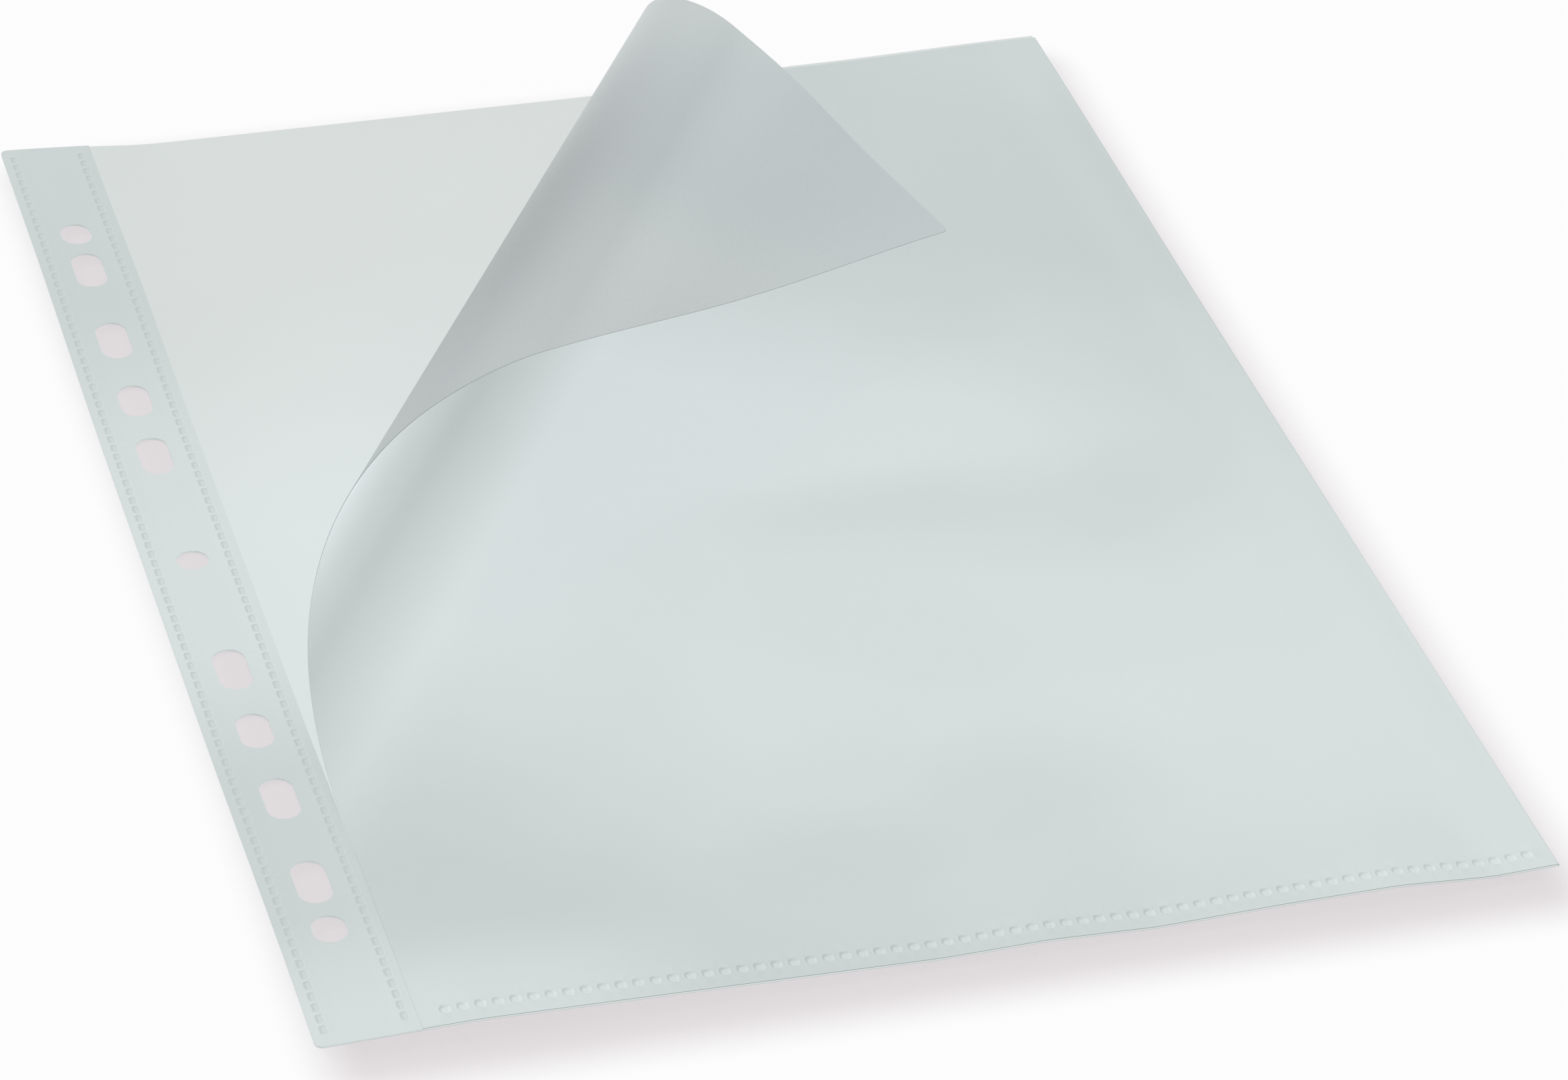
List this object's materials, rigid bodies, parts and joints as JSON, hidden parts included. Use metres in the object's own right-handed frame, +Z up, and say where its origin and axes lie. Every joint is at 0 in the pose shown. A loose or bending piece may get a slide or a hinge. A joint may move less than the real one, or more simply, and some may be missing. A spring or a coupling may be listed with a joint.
{
  "type": "sheet protector",
  "caption": "Flat plastic page pocket with a punched, welded binding strip, open along the top and the strip side, its free front corner rolled back.",
  "frame": {"origin": "middle of the pocket's underside, at the centre of its outline", "axes": "+X across the pocket from the binding strip to the folded edge, +Y up the page to the open top edge, +Z up out of the table"},
  "size_m": [0.23, 0.308, 0.0355],
  "materials": {
    "pocket_film": "satin, milky translucent film",
    "binding_strip": "satin, milky translucent strip",
    "weld": "melted film"
  },
  "bodies": {
    "pocket": {"back_sheet": "pocket_film", "right_fold": "pocket_film", "front_sheet": "pocket_film", "binding_strip": "binding_strip", "bottom_weld": "weld", "outer_strip_weld": "weld", "inner_strip_weld": "weld"},
    "flap_band_01": {"flap_band_01": "pocket_film"},
    "flap_band_02": {"flap_band_02": "pocket_film"},
    "flap_band_03": {"flap_band_03": "pocket_film"},
    "flap_band_04": {"flap_band_04": "pocket_film"},
    "flap_band_05": {"flap_band_05": "pocket_film"},
    "flap_band_06": {"flap_band_06": "pocket_film"},
    "flap_corner": {"flap_corner": "pocket_film"}
  },
  "joints": [
    {"name": "bend_01", "type": "hinge", "parent": "pocket", "child": "flap_band_01", "pos_m": [0.00619, 0.09007, 0.00054], "axis": [0.5225, 0.8526, 0], "range_deg": [-28.14, 0]},
    {"name": "bend_02", "type": "hinge", "parent": "flap_band_01", "child": "flap_band_02", "pos_m": [-0.00209, 0.09513, 0.00573], "axis": [0.5225, 0.8526, 0], "range_deg": [-28.14, 0]},
    {"name": "bend_03", "type": "hinge", "parent": "flap_band_02", "child": "flap_band_03", "pos_m": [-0.00613, 0.09761, 0.01283], "axis": [0.5225, 0.8526, 0], "range_deg": [-28.14, 0]},
    {"name": "bend_04", "type": "hinge", "parent": "flap_band_03", "child": "flap_band_04", "pos_m": [-0.00678, 0.09801, 0.02065], "axis": [0.5225, 0.8526, 0], "range_deg": [-28.14, 0]},
    {"name": "bend_05", "type": "hinge", "parent": "flap_band_04", "child": "flap_band_05", "pos_m": [-0.00421, 0.09644, 0.02789], "axis": [0.5225, 0.8526, 0], "range_deg": [-28.14, 0]},
    {"name": "bend_06", "type": "hinge", "parent": "flap_band_05", "child": "flap_band_06", "pos_m": [0.00143, 0.09298, 0.0333], "axis": [0.5225, 0.8526, 0], "range_deg": [-28.14, 0]},
    {"name": "bend_07", "type": "hinge", "parent": "flap_band_06", "child": "flap_corner", "pos_m": [0.01063, 0.08734, 0.03543], "axis": [0.5225, 0.8526, 0], "range_deg": [-28.14, 0]}
  ],
  "couplings": [
    {"joint": "bend_02", "follows": "bend_01", "ratio": 1},
    {"joint": "bend_03", "follows": "bend_01", "ratio": 1},
    {"joint": "bend_04", "follows": "bend_01", "ratio": 1},
    {"joint": "bend_05", "follows": "bend_01", "ratio": 1},
    {"joint": "bend_06", "follows": "bend_01", "ratio": 1},
    {"joint": "bend_07", "follows": "bend_01", "ratio": 1}
  ]
}
